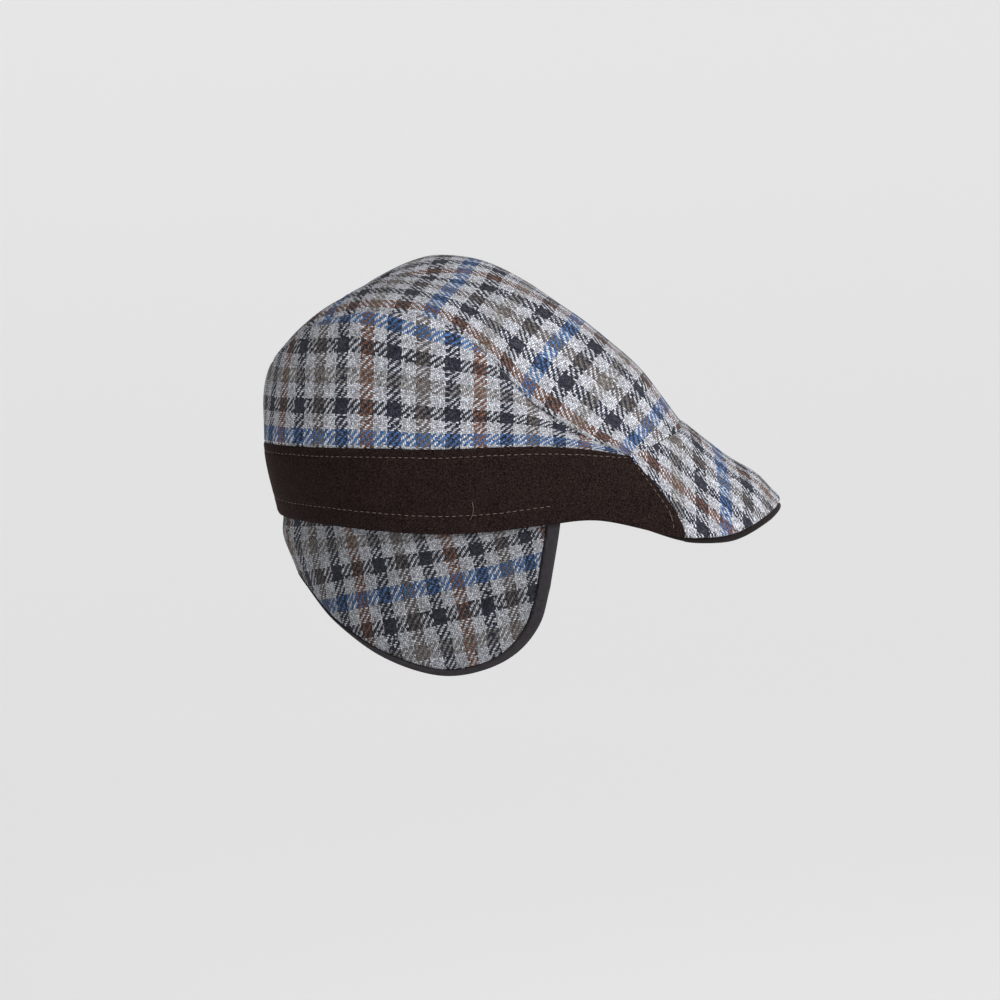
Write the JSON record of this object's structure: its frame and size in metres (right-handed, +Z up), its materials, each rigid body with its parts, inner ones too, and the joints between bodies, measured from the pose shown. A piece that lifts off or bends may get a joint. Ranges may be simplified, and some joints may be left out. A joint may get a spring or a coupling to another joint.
{
  "type": "newsboy cap",
  "caption": "Newsboy cap in checked wool tweed with a full sloping crown, a curved peak, a suede band and an ear-to-ear flap that hangs below the band over ears and nape.",
  "frame": {"origin": "centre of the head opening, level with the lower edge of the band", "axes": "+X towards the peak, +Y to the wearer's left, +Z up"},
  "size_m": [0.2781, 0.177, 0.2151],
  "materials": {
    "tweed": "checked wool twill, matte",
    "suede": "brushed suede, matte",
    "dark_twill": "plain dark twill",
    "charcoal_cloth": "plain cloth, matte"
  },
  "bodies": {
    "root": {"crown_side_right": "tweed", "crown_side_left": "tweed", "crown_top_right": "tweed", "crown_top_left": "tweed", "crown_strip": "tweed", "peak_cover": "tweed", "ear_flap": "tweed", "band": "suede", "peak_lining": "dark_twill", "flap_lining": "charcoal_cloth"}
  },
  "joints": []
}
